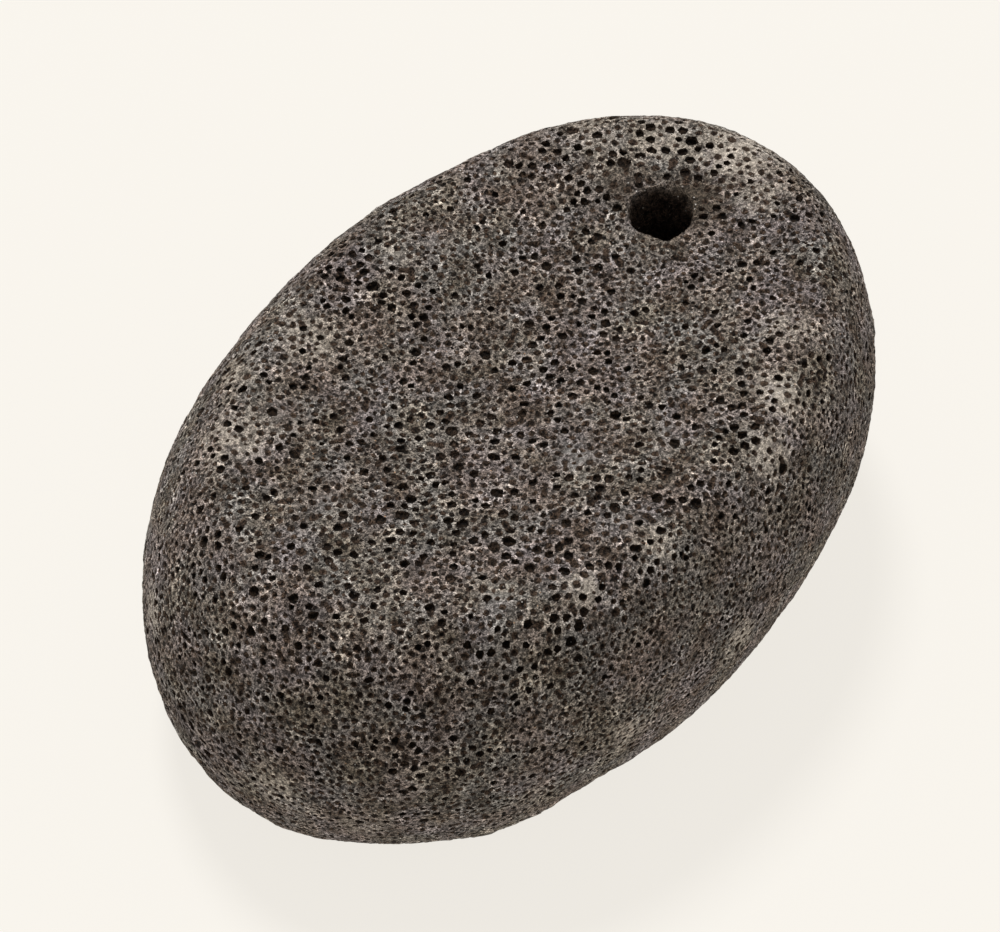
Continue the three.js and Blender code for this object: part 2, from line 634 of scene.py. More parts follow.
@dataclass
class StoneSkin:
    """The stone's mesh: a web over the form, whose knots are opened into rims and sunk into pits.

    Attributes:
        pebble: The form that the web is laid on.
        hole: The drilled hole.
        weathering: The patches on the skin.
        pores: The bubbles that open through the skin.
        chance: Where the random numbers come from.
        bowl_share: The share of the bubbles, the deepest, that get a wall of their own.
        widest_step: A rim's sides are split until none spans a wider angle, in degrees.
        clear: How far off the stone the rays start that find the hole's mouths.
        ring_lift: How far the mouths' knots stand off the ball, so that its hull holds them all.
        sole_height: The web below this is the flat sole's.
        opening: How far along its strands a bubble's knot is opened, in percent.
        least_wall: The thinnest wall that is left between two rims.
        wall_for_wear_and_highlight: How thick a wall is that is hardly made pale, by wear and by a
            painted highlight.
        most_wear_and_highlight: How pale a wall with no width would be, where 1 is wholly pale.
        lone_wear_and_highlight: How pale a rim is where no wall leads away from it.
        weak_wall: A wall thinner than this may be broken through.
        breached: The share of those that is.
        broken: How deep they are broken down, at the least and the most, as a share of the pits.
        breach_shade: How much painted shade they get then, as a share of their bubbles' painted
            shade.
        least_fill: The least share of the room towards its neighbour that a rim takes up.
        rim: How far a rim reaches by itself, at the least and the most, as a share of its bubble.
        most_swollen: The most that it reaches, likewise.
        lone_rim: The most that it reaches where no wall leads away, likewise.
        floor_aside: How far aside a pit's floor may lie, as a share of its radius.
        ring_gap: How far inside its rim a bowl's ring is cut.
        ring_sunk: How deep the ring is sunk, at the least and the most, as a share of the bowl.
        ring_in: How far in it lies, likewise, as a share of the rim's reach.
        ring_shade: How much painted shade it gets, as a share of its bubble's painted shade.
        ring_spot: How far out it lies on the flat map, as a share of its rim.
        skin_sunk: How far the whole skin is worn below the form.
        swells: The widths and heights of the swellings over the whole skin.
        grit: How far a knot is dented or lifted by chance.
        mesh: The mesh that is being made.
    """

    pebble: Pebble
    hole: Hole
    weathering: Weathering
    pores: list[Pore]
    chance: random.Random
    bowl_share: float = 0.15
    widest_step: float = 105.0
    clear: float = 5.0
    ring_lift: float = 1.0002
    sole_height: float = 0.01
    opening: float = 30.0
    least_wall: float = 0.09
    wall_for_wear_and_highlight: float = 0.6
    most_wear_and_highlight: float = 1.15
    lone_wear_and_highlight: float = 0.4
    weak_wall: float = 0.2
    breached: float = 0.12
    broken: Span = (0.3, 0.7)
    breach_shade: float = 0.5
    least_fill: float = 0.72
    rim: Span = (0.85, 1.2)
    most_swollen: float = 1.28
    lone_rim: float = 1.1
    floor_aside: float = 0.3
    ring_gap: float = 0.02
    ring_sunk: Span = (0.5, 0.8)
    ring_in: Span = (0.03, 0.2)
    ring_shade: float = 0.85
    ring_spot: float = 0.6
    skin_sunk: float = 0.1
    swells: tuple[Span, Span] = ((4.2, 0.16), (1.1, 0.12))
    grit: Span = (-0.07, 0.04)
    mesh: BMesh = field(default_factory=bmesh.new)

    def __post_init__(self) -> None:
        """Makes the mesh's layers and the lookup of bubbles by place."""
        points, faces = self.mesh.verts.layers, self.mesh.faces.layers
        self.is_bubble = points.int.new("is_bubble")
        self.owner = points.int.new("owner")
        self.in_hole = points.int.new("in_hole")
        # hollow holds how much painted shade darkens each knot, in the pits and down the hole's wall.
        self.hollow = points.float.new("hollow")
        self.thin = points.float.new("thin")
        self.spot = points.float_vector.new("spot")
        self.tints = {tint: points.float.new(tint.value) for tint in Tint}
        self.bubble_number = faces.int.new("bubble_number")
        self.lookup = KDTree(len(self.pores))
        for index, pore in enumerate(self.pores):
            self.lookup.insert(pore.centre, index)
        self.lookup.balance()

    def pore_of(self, face: BMFace) -> Pore:
        """The bubble that a face belongs to."""
        return self.pores[face[self.bubble_number] - 1]

    def mouth_ring(self, from_above: bool) -> list[Vector]:
        """Points on the form round one mouth of the hole, worn out of round.

        Args:
            from_above: True for the top mouth, False for the one in the sole.

        Returns:
            The ring's points in order.
        """
        hole, pebble = self.hole, self.pebble
        start = pebble.high.z + self.clear if from_above else pebble.low.z - self.clear
        often, far = hole.mouth_lumps
        ring = []
        for side in range(hole.sides):
            angle = math.tau * side / hole.sides
            way = Vector((math.cos(angle), math.sin(angle), 0.0))
            worn = noise.noise(way * often + UP * start) * far
            worn += self.chance.uniform(-hole.out_of_round, hole.out_of_round)
            above = Vector((hole.x, hole.y, start)) + way * (hole.mouth_radius + worn)
            place, _, _, _ = pebble.tree.ray_cast(above, -UP if from_above else UP)
            ring.append(place)
        return ring

    def lay_web(self) -> None:
        """Lays a web of triangles over the form, with a knot at each bubble and round each mouth."""
        places = [pore.centre for pore in self.pores]
        on_ball = [self.pebble.on_ball(place) for place in places]
        for ring in (self.mouth_ring(True), self.mouth_ring(False)):
            places.extend(ring)
            on_ball.extend(self.pebble.on_ball(place) * self.ring_lift for place in ring)
        knots = [self.mesh.verts.new(place) for place in on_ball]
        bmesh.ops.convex_hull(self.mesh, input=knots, use_existing_faces=False)
        for index, (knot, place) in enumerate(zip(knots, places)):
            knot.co = place
            knot[self.is_bubble] = index < len(self.pores)
        loose = [knot for knot in knots if not knot.link_faces]
        log.info("web: %d knots, %d left out", len(knots), len(loose))
        bmesh.ops.delete(self.mesh, geom=loose, context="VERTS")
        bmesh.ops.recalc_face_normals(self.mesh, faces=self.mesh.faces)
        self.even_web()

    def even_web(self) -> None:
        """Turns the web's strands to follow the form, and on the flat sole to even its triangles."""
        mesh = self.mesh
        strands = [edge for edge in mesh.edges if any(vert[self.is_bubble] for vert in edge.verts)]
        bmesh.ops.beautify_fill(mesh, faces=mesh.faces, edges=strands, method="ANGLE")
        strands = [edge for edge in mesh.edges if any(vert[self.is_bubble] for vert in edge.verts)]
        flat = [edge for edge in strands if max(vert.co.z for vert in edge.verts) < self.sole_height]
        bmesh.ops.beautify_fill(mesh, faces=mesh.faces, edges=flat, method="AREA")

    def drill(self) -> None:
        """Opens both mouths, joins them with the hole's wall and roughens it."""
        lids = [
            face for face in self.mesh.faces if not any(vert[self.is_bubble] for vert in face.verts)
        ]
        bmesh.ops.delete(self.mesh, geom=lids, context="FACES")
        rims = [edge for edge in self.mesh.edges if edge.is_boundary]
        halved = bmesh.ops.bisect_edges(self.mesh, edges=rims, cuts=1)
        for item in halved["geom_split"]:
            if isinstance(item, BMVert):
                self.place_on_mouth(item)
        rims = [edge for edge in self.mesh.edges if edge.is_boundary]
        heights = [edge.verts[0].co.z for edge in rims]
        joined = bmesh.ops.bridge_loops(self.mesh, edges=rims)
        split = bmesh.ops.subdivide_edges(
            self.mesh, edges=joined["edges"], cuts=self.hole.rows, use_grid_fill=True
        )
        middle = (max(heights) + min(heights)) / 2
        upper = [height for height in heights if height > middle]
        lower = [height for height in heights if height < middle]
        top, bottom = sum(upper) / len(upper), sum(lower) / len(lower)
        for item in split["geom_inner"]:
            if isinstance(item, BMVert):
                self.place_in_wall(item, top, bottom)

    def place_on_mouth(self, knot: BMVert) -> None:
        """Moves a knot out to the mouth's worn edge, on the form, and chips some of them away.

        Args:
            knot: A knot of the mouth's outline.
        """
        hole = self.hole
        way = hole.outward(knot.co)
        spot = knot.co + way * (hole.mouth_radius - hole.distance(knot.co))
        is_chipped = self.chance.random() < hole.chipped
        uneven = self.chance.uniform(*(hole.chip if is_chipped else hole.uneven_mouth))
        knot.co, _ = self.pebble.nearest(spot + way * uneven)

    def place_in_wall(self, knot: BMVert, top: float, bottom: float) -> None:
        """Puts a knot of the hole's wall in its row, and sinks some of them into bubbles.

        Args:
            knot: The knot.
            top: The top mouth's height.
            bottom: The bottom mouth's height.
        """
        hole, length = self.hole, top - bottom
        row = round((top - knot.co.z) / length * (hole.rows + 1))
        depth = hole.row_depth(row, length)
        height = top - depth if row <= hole.rows / 2 else bottom + depth
        wear = math.exp(-depth / hole.wear_depth) * (hole.mouth_radius - hole.radius)
        way = hole.outward(knot.co)
        lump_width, lump_height = hole.wall_lumps
        rough = noise.noise(Vector((knot.co.x, knot.co.y, height)) / lump_width) * lump_height
        radius = hole.radius + wear + rough + self.chance.uniform(*hole.uneven_wall)
        cut_bubble = depth > hole.bubbles_from and self.chance.random() < hole.cut_bubbles
        if cut_bubble:
            radius += self.chance.uniform(*hole.bubble)
        knot.co = Vector((hole.x, hole.y, height)) + way * radius
        off_row = self.chance.uniform(-hole.off_row, hole.off_row)
        knot.co.z += off_row * min(depth, length / hole.rows)
        knot[self.in_hole] = 1
        # The wall is painted darker the deeper it lies, and dark in its bubbles: painted shade.
        at_mouth, darkened = hole.dark
        dark = hole.dark_bubble if cut_bubble else at_mouth + depth / darkened
        knot[self.hollow] = min(1.0, dark)

    def open_rims(self) -> list[BMFace]:
        """Opens each bubble's knot into a face and rounds that face's outline to the bubble.

        Returns:
            The faces that close the bubbles' mouths.
        """
        knots = [vert for vert in self.mesh.verts if vert[self.is_bubble]]
        opened = bmesh.ops.bevel(
            self.mesh, geom=knots, offset=self.opening, offset_type="PERCENT", segments=1,
            profile=0.5, affect="VERTICES", material=-1, clamp_overlap=False,
        )
        wide_steps: dict[BMEdge, None] = {}
        for mouth in opened["faces"]:
            _, index, _ = self.lookup.find(mouth.calc_center_median())
            mouth[self.bubble_number] = index + 1
            centre = self.pores[index].centre
            for loop in mouth.loops:
                here, there = loop.vert.co - centre, loop.link_loop_next.vert.co - centre
                if math.degrees(here.angle(there, 0.0)) > self.widest_step:
                    wide_steps[loop.edge] = None
        bmesh.ops.bisect_edges(self.mesh, edges=list(wide_steps), cuts=1)
        mouths = [face for face in self.mesh.faces if face[self.bubble_number]]
        for mouth in mouths:
            for corner in mouth.verts:
                corner[self.owner] = mouth[self.bubble_number]
        for mouth in mouths:
            self.round_mouth(mouth)
        return mouths

    def across_wall(self, corner: BMVert) -> BMVert | None:
        """Finds the far side of the wall that a rim's corner stands on.

        Args:
            corner: The rim's corner.

        Returns:
            The knot across the wall, or None where no wall leads away.
        """
        for edge in corner.link_edges:
            far = edge.other_vert(corner)
            if far[self.owner] != corner[self.owner]:
                return far
        return None

    def room_to(self, pore: Pore, far: BMVert | None) -> float:
        """How far a rim may reach towards the knot across its wall.

        Args:
            pore: The bubble that the rim belongs to.
            far: The knot across the wall.

        Returns:
            The greatest distance from the bubble's middle.
        """
        if far is None:
            return pore.radius * self.lone_rim
        if not far[self.owner]:
            return (far.co - pore.centre).length - self.least_wall
        other = self.pores[far[self.owner] - 1]
        free = (other.centre - pore.centre).length - self.least_wall
        return free * pore.radius / (pore.radius + other.radius)

    def round_mouth(self, mouth: BMFace) -> None:
        """Moves a mouth's corners out to its bubble's rim, a little uneven, on the form.

        Args:
            mouth: The face that closes the bubble.
        """
        pore = self.pore_of(mouth)
        fill = self.chance.uniform(self.least_fill, 1.0)
        for corner in mouth.verts:
            way = pore.flat_way(corner.co)
            room = self.room_to(pore, self.across_wall(corner))
            reach = max(pore.reach(way) * self.chance.uniform(*self.rim), room * fill)
            reach = min(reach, room, pore.radius * self.most_swollen)
            corner.co, _ = self.pebble.nearest(pore.centre + way * reach)

    def wear_walls(self, mouths: list[BMFace]) -> None:
        """Notes how thin each wall is, which the finish paints pale, partly as wear and partly as a
        painted highlight on the rim, and breaks some of the thinnest through.

        Args:
            mouths: The faces that close the bubbles.
        """
        for mouth in mouths:
            for corner in mouth.verts:
                far = self.across_wall(corner)
                if far is None:
                    corner[self.thin] = self.lone_wear_and_highlight
                    continue
                wall = (far.co - corner.co).length
                # A thin wall is painted pale: partly wear, partly a painted highlight on the rim.
                worn = self.most_wear_and_highlight - wall / self.wall_for_wear_and_highlight
                corner[self.thin] = min(1.0, max(0.0, worn))
                is_seen_once = 0 < far[self.owner] < corner[self.owner]
                is_weak = is_seen_once and wall < self.weak_wall
                if is_weak and self.chance.random() < self.breached:
                    self.breach(corner, far)

    def breach(self, corner: BMVert, far: BMVert) -> None:
        """Breaks the wall between two bubbles down, below the skin.

        Args:
            corner: The wall's knot on one side.
            far: Its knot on the other side.
        """
        here, there = self.pores[corner[self.owner] - 1], self.pores[far[self.owner] - 1]
        sunk = min(here.depth, there.depth) * self.chance.uniform(*self.broken)
        for end, pore in ((corner, here), (far, there)):
            end[self.spot] = end.co
            end.co -= pore.normal * sunk
            # The sunk wall is painted darker: painted shade.
            end[self.hollow] = self.breach_shade * max(here.pit_shade, there.pit_shade)
            end[self.thin] = 0.0

    def sink_pits(self, mouths: list[BMFace]) -> None:
        """Sinks every mouth into a pit: a bowl with a wall of its own, or a plain dimple.

        Args:
            mouths: The faces that close the bubbles.
        """
        for mouth in mouths:
            for edge in mouth.edges:
                edge.smooth = False
        mouths.sort(key=lambda mouth: self.pore_of(mouth).depth, reverse=True)
        bowls = mouths[: round(len(mouths) * self.bowl_share)]
        bmesh.ops.inset_individual(self.mesh, faces=bowls, thickness=self.ring_gap, depth=0.0)
        for bowl in bowls:
            self.line_bowl(bowl)
        poked = bmesh.ops.poke(self.mesh, faces=mouths)
        for floor in poked["verts"]:
            pore = self.pore_of(floor.link_faces[0])
            aside = self.chance.uniform(-self.floor_aside, self.floor_aside)
            floor_place = pore.centre - pore.normal * pore.depth
            floor[self.spot] = pore.centre
            floor.co = floor_place + pore.slant * (pore.radius * aside)
            # The pit's floor gets its bubble's painted shade.
            floor[self.hollow] = pore.pit_shade

    def line_bowl(self, bowl: BMFace) -> None:
        """Sinks a bowl's inner ring below its rim, steeply, as a bubble's wall goes down.

        Args:
            bowl: The face inside the ring.
        """
        pore = self.pore_of(bowl)
        for vert in bowl.verts:
            way = pore.flat_way(vert.co)
            vert[self.spot] = pore.centre.lerp(vert.co, self.ring_spot)
            offset = vert.co - pore.centre
            flat = (offset - pore.normal * offset.dot(pore.normal)).length
            sunk = pore.depth * self.chance.uniform(*self.ring_sunk)
            place, _ = self.pebble.nearest(pore.centre + way * flat)
            inward = way * (flat * self.chance.uniform(*self.ring_in))
            vert.co = place - inward - pore.normal * sunk
            # The bowl's ring gets most of its bubble's painted shade.
            vert[self.hollow] = pore.pit_shade * self.ring_shade
            vert[self.thin] = 0.0

    def roughen(self) -> None:
        """Lifts and dents the whole skin a little, and keeps it above the plane it stands on."""
        for vert in self.mesh.verts:
            if vert[self.in_hole]:
                continue
            _, normal = self.pebble.nearest(vert.co)
            swell = sum(noise.noise(vert.co / width) * height for width, height in self.swells)
            vert.co += normal * (swell - self.skin_sunk + self.chance.uniform(*self.grit))
            vert.co.z = max(vert.co.z, 0.0)

    def weather(self) -> None:
        """Notes how much of each tint lies on the skin."""
        for vert in self.mesh.verts:
            for tint, layer in self.tints.items():
                vert[layer] = self.weathering.amount(tint, vert.co)

    def lay_flat(self) -> None:
        """Lays every face on the map that its colours are baked on."""
        flat_map = FlatMap(self.pebble, self.hole)
        flat = self.mesh.loops.layers.uv.new("OFBake")
        for face in self.mesh.faces:
            spots = [
                vert[self.spot] if vert[self.spot].length_squared else vert.co for vert in face.verts
            ]
            in_hole = any(vert[self.in_hole] for vert in face.verts)
            for loop, place in zip(face.loops, flat_map.lay(spots, in_hole)):
                loop[flat].uv = place
        self.mesh.verts.layers.float_vector.remove(self.spot)

    def build(self) -> Object:
        """Builds the whole mesh.

        Returns:
            The stone as a Blender object, in metres.
        """
        self.lay_web()
        self.drill()
        mouths = self.open_rims()
        log.info("rims: %d opened", len(mouths))
        self.wear_walls(mouths)
        self.sink_pits(mouths)
        self.roughen()
        self.weather()
        bmesh.ops.triangulate(self.mesh, faces=self.mesh.faces)
        self.lay_flat()
        bmesh.ops.scale(self.mesh, vec=(MM, MM, MM), verts=self.mesh.verts)
        for face in self.mesh.faces:
            face.smooth = True
        bmesh.ops.recalc_face_normals(self.mesh, faces=self.mesh.faces)
        shell = bpy.data.meshes.new("porous_stone")
        self.mesh.to_mesh(shell)
        self.mesh.free()
        stone = bpy.data.objects.new("porous_stone", shell)
        bpy.context.scene.collection.objects.link(stone)
        return stone


def new_group(
    name: str, takes: dict[str, str], gives: tuple[str, ...]
) -> tuple["NodeSheet", Node, Node]:
    """Makes an empty node group.

    Args:
        name: Its name.
        takes: The kind of each input, Vector or Float, by its name.
        gives: The names of its outputs, which are all values.

    Returns:
        The group as a sheet to fill, the node that holds its inputs and the one that takes its
        outputs.
    """
    tree = bpy.data.node_groups.new(name, "ShaderNodeTree")
    for socket, kind in takes.items():
        tree.interface.new_socket(socket, in_out="INPUT", socket_type=f"NodeSocket{kind}")
    for socket in gives:
        tree.interface.new_socket(socket, in_out="OUTPUT", socket_type="NodeSocketFloat")
    inputs, out = tree.nodes.new("NodeGroupInput"), tree.nodes.new("NodeGroupOutput")
    return NodeSheet(tree), inputs, out


class NodeSheet:
    """A node tree being filled, with a short way to add each kind of node that a finish needs."""

    def __init__(self, tree: NodeTree) -> None:
        """Takes the tree to fill.

        Args:
            tree: A material's or a group's node tree.
        """
        self.tree = tree

    def feed(self, socket: NodeSocket, value: Value | Colour) -> None:
        """Links a socket to another, or sets it to a number or a colour.

        Args:
            socket: The input socket.
            value: What it reads.
        """
        if isinstance(value, NodeSocket):
            self.tree.links.new(value, socket)
        elif isinstance(value, tuple) and len(value) == 3 and socket.type == "RGBA":
            socket.default_value = (*value, 1.0)
        else:
            socket.default_value = value

    def add(
        self, kind: str, gives: str, settings: dict[str, str] | None = None, **reads: Value | Colour
    ) -> NodeSocket:
        """Adds a node.

        Args:
            kind: Its kind.
            gives: Which of its outputs is wanted.
            settings: Its settings by name.
            **reads: What its inputs read, by name, with _ for a space.

        Returns:
            The output.
        """
        node = self.tree.nodes.new(f"ShaderNode{kind}")
        for name, setting in (settings or {}).items():
            setattr(node, name, setting)
        for name, value in reads.items():
            self.feed(node.inputs[name.replace("_", " ")], value)
        return node.outputs[gives]

    def maths(self, operation: str, first: Value, second: Value = 0.0) -> NodeSocket:
        """Adds a sum of two values.

        Args:
            operation: The kind of sum, such as ADD.
            first: The value on its left.
            second: The value on its right.

        Returns:
            The result.
        """
        node = self.tree.nodes.new("ShaderNodeMath")
        node.operation = operation
        self.feed(node.inputs[0], first)
        self.feed(node.inputs[1], second)
        return node.outputs[0]

    def times(self, first: Value, second: Value) -> NodeSocket:
        """Adds a product of two values."""
        return self.maths("MULTIPLY", first, second)

    def ramp(
        self, value: Value, low: float, high: float, start: float = 0.0, end: float = 1.0
    ) -> NodeSocket:
        """Adds a smooth ramp.

        Args:
            value: What it reads.
            low: The value at which it starts to rise.
            high: The value at which it is full.
            start: What it gives below low.
            end: What it gives above high.

        Returns:
            What it gives.
        """
        smooth, limits = {"interpolation_type": "SMOOTHSTEP"}, {"From_Min": low, "From_Max": high}
        return self.add("MapRange", "Result", smooth, Value=value, To_Min=start, To_Max=end, **limits)

    def cloud(self, place: Value, size: float, detail: float = 2.0) -> NodeSocket:
        """Adds cloudy noise whose lumps are about this wide, in millimetres."""
        return self.add("TexNoise", "Fac", Vector=place, Scale=1 / size, Detail=detail)

    def scaled(self, place: Value, factor: float) -> NodeSocket:
        """Adds a place made this many times as far out."""
        return self.add("VectorMath", "Vector", {"operation": "SCALE"}, Vector=place, Scale=factor)

    def warped(self, place: Value, size: float, most: float) -> NodeSocket:
        """Adds a place pushed about by noise, which gives what reads it a ragged outline.

        Args:
            place: The place.
            size: How wide the noise's lumps are.
            most: How far it is pushed at most.

        Returns:
            The place that was pushed.
        """
        lumps = self.add("TexNoise", "Color", Vector=place, Scale=1 / size)
        push = self.tree.nodes.new("ShaderNodeVectorMath")
        push.operation = "MULTIPLY_ADD"
        self.feed(push.inputs[0], lumps)
        push.inputs[1].default_value = (most, most, most)
        self.feed(push.inputs[2], place)
        return push.outputs[0]

    def grains(self, place: Value) -> tuple[NodeSocket, NodeSocket]:
        """Adds round grains about one unit apart.

        Args:
            place: The place that they are read at.

        Returns:
            The distance from each grain's middle, and a random colour for each grain.
        """
        node = self.tree.nodes.new("ShaderNodeTexVoronoi")
        self.feed(node.inputs["Vector"], place)
        node.inputs["Scale"].default_value = 1.0
        return node.outputs["Distance"], node.outputs["Color"]

    def channel(self, colour: NodeSocket, name: str) -> NodeSocket:
        """Adds a reading of one channel of a colour."""
        return self.add("SeparateColor", name, Color=colour)

    def blend(
        self, factor: Value, under: Value | Colour, over: Value | Colour, way: str = "MIX"
    ) -> NodeSocket:
        """Adds a blend of two colours.

        Args:
            factor: How much of the upper colour shows.
            under: The lower colour.
            over: The upper colour.
            way: How they blend.

        Returns:
            The blended colour.
        """
        settings = {"data_type": "RGBA", "blend_type": way}
        return self.add("Mix", "Result", settings, Factor=factor, A=under, B=over)

    def attribute(self, name: str) -> NodeSocket:
        """Adds a reading of one of the mesh's own attributes."""
        return self.add("Attribute", "Fac", {"attribute_name": name})

    def group(self, tree: NodeTree, **values: Value) -> Node:
        """Adds a group with its inputs fed.

        Args:
            tree: The group's tree.
            **values: What each of its inputs reads.

        Returns:
            The group's node.
        """
        node = self.tree.nodes.new("ShaderNodeGroup")
        node.node_tree = tree
        for name, value in values.items():
            self.feed(node.inputs[name], value)
        return node


@dataclass(frozen=True)
class PinHoles:
    """Bubbles too small to open in the mesh: pits painted dark with painted shade, each with a pale
    lip that is a painted highlight.

    Attributes:
        narrowest: The narrowest pit, as a share of the gap between pits.
        widest: The widest pit, likewise.
        faintest: How dark the painted shade of the shallowest is.
        wall: Where the dark fades out, as a share of the pit's radius.
        lip: Where the pale lip, a painted highlight, begins, is full and ends, likewise.
    """

    narrowest: float = 0.15
    widest: float = 0.56
    faintest: float = 0.3
    wall: Span = (0.65, 0.95)
    lip: tuple[float, float, float] = (0.9, 1.05, 1.5)

    def make(self) -> NodeTree:
        """Builds the group.

        Returns:
            A group that takes a place in gaps between pits, and gives masks for the pits' painted
            shade and for the lips' painted highlight.
        """
        sheet, inputs, out = new_group("pin_holes", {"Place": "Vector"}, ("Pit", "Lip"))
        gap, seed = sheet.grains(inputs.outputs["Place"])
        radius = sheet.ramp(sheet.channel(seed, "Red"), 0.0, 1.0, self.narrowest, self.widest)
        share = sheet.maths("DIVIDE", gap, radius)
        # How dark each pit is painted: painted shade.
        dark = sheet.ramp(sheet.channel(seed, "Green"), 0.0, 1.0, self.faintest, 1.0)
        inside = sheet.ramp(share, *self.wall, 1.0, 0.0)
        sheet.feed(out.inputs["Pit"], sheet.times(inside, dark))
        # The pale lip round each pit: a painted highlight.
        begins, full, ends = self.lip
        outside, near = sheet.ramp(share, begins, full), sheet.ramp(share, full, ends, 1.0, 0.0)
        sheet.feed(out.inputs["Lip"], sheet.times(outside, near))
        return sheet.tree


@dataclass(frozen=True)
class MineralGrain:
    """The crumbs, dust, pin-holes and crystals in the lava, finer than its open bubbles. The dust and
    crumbs are painted paler where they stand high and darker where they sink: grain tone with painted
    shade and highlight.

    Attributes:
        dust: The width of the finest grains.
        crumb: The width of the crumbs.
        pin_holes: How far apart the pin-holes lie, for the wider and the narrower ones.
        pin_shape: How many times as far apart they lie as they are deep.
        pin_warp: How wide the lumps are that push them out of round, and how far they do.
        crystal: How far apart the crystals lie.
        relief: How high the dust and the crumbs stand.
        dust_shade: How the dust lightens the skin where it stands high and darkens it where it sinks:
            grain tone and painted shade.
        crumb_shade: How the crumbs do, likewise grain tone and painted shade.
        lip_shade: How much paler a pin-hole's lip is painted, as a painted highlight.
        speck: Where a crystal fades out, as a share of the gap between crystals.
        rare: How rare the pale and the rusty ones are, from 0 to 1.
    """

    dust: float = 0.15
    crumb: float = 0.42
    pin_holes: Span = (0.8, 0.42)
    pin_shape: float = 3.0
    pin_warp: Span = (0.5, 0.3)
    crystal: float = 0.4
    relief: Span = (0.2, 0.6)
    dust_shade: Ramp = (0.3, 0.72, 0.35, 1.65)
    crumb_shade: Ramp = (0.36, 0.66, 0.35, 1.75)
    lip_shade: float = 1.4
    speck: Span = (0.15, 0.35)
    rare: Span = (0.93, 0.94)

    def make(self) -> NodeTree:
        """Builds the group.

        Returns:
            A group that takes a place in millimetres, and gives a height in millimetres, a shade that
            is grain tone with painted shade and highlights, and masks for the pin-holes' painted
            shade, for pale crystals and for rusty ones.
        """
        outputs = ("Height", "Shade", "Pit", "Crystal", "Rust")
        sheet, inputs, out = new_group("mineral_grain", {"Place": "Vector"}, outputs)
        place = inputs.outputs["Place"]
        dust = sheet.cloud(place, self.dust, 1.0)
        crumbs = sheet.cloud(place, self.crumb, 2.0)
        dust_height, crumb_height = self.relief
        height = sheet.maths(
            "ADD", sheet.times(dust, dust_height), sheet.times(crumbs, crumb_height)
        )
        # Paler where the dust and crumbs stand high, darker where they sink: grain tone with painted
        # shade and highlight.
        shade = sheet.times(
            sheet.ramp(dust, *self.dust_shade), sheet.ramp(crumbs, *self.crumb_shade)
        )
        pin_holes = PinHoles().make()
        ragged = sheet.warped(place, *self.pin_warp)
        darkest = 0.0
        for gap in self.pin_holes:
            pits = sheet.group(pin_holes, Place=sheet.scaled(ragged, 1 / gap))
            sunk = sheet.times(pits.outputs["Pit"], gap / self.pin_shape)
            height = sheet.maths("SUBTRACT", height, sunk)
            darkest = sheet.maths("MAXIMUM", pits.outputs["Pit"], darkest)
            # Each pin-hole's lip is painted paler: a painted highlight.
            pale = sheet.ramp(pits.outputs["Lip"], 0.0, 1.0, 1.0, self.lip_shade)
            shade = sheet.times(shade, pale)
        gap, seed = sheet.grains(sheet.scaled(place, 1 / self.crystal))
        middle = sheet.ramp(gap, *self.speck, 1.0, 0.0)
        pale = sheet.ramp(sheet.channel(seed, "Red"), self.rare[0], 1.0)
        rusty = sheet.ramp(sheet.channel(seed, "Green"), self.rare[1], 1.0)
        crystals, specks = sheet.times(middle, pale), sheet.times(middle, rusty)
        for name, value in zip(outputs, (height, shade, darkest, crystals, specks)):
            sheet.feed(out.inputs[name], value)
        return sheet.tree


@dataclass(frozen=True)
class RaggedPatch:
    """A soft patch made ragged, as dirt and wear are.

    Attributes:
        lump: The width of the lumps that its edge breaks up into.
        raggedness: How strongly they break it up.
        edge: Where the patch begins and is full, once they are added.
    """

    lump: float = 1.3
    raggedness: float = 2.4
    edge: Span = (1.35, 2.3)

    def make(self) -> NodeTree:
        """Builds the group.

        Returns:
            A group that takes a place in millimetres and an amount, and gives a mask.
        """
        takes = {"Place": "Vector", "Amount": "Float"}
        sheet, inputs, out = new_group("ragged_patch", takes, ("Mask",))
        lumps = sheet.cloud(inputs.outputs["Place"], self.lump, 5.0)
        amount = inputs.outputs["Amount"]
        mixed = sheet.maths("ADD", amount, sheet.times(lumps, self.raggedness))
        sheet.feed(out.inputs["Mask"], sheet.times(sheet.ramp(mixed, *self.edge), amount))
        return sheet.tree


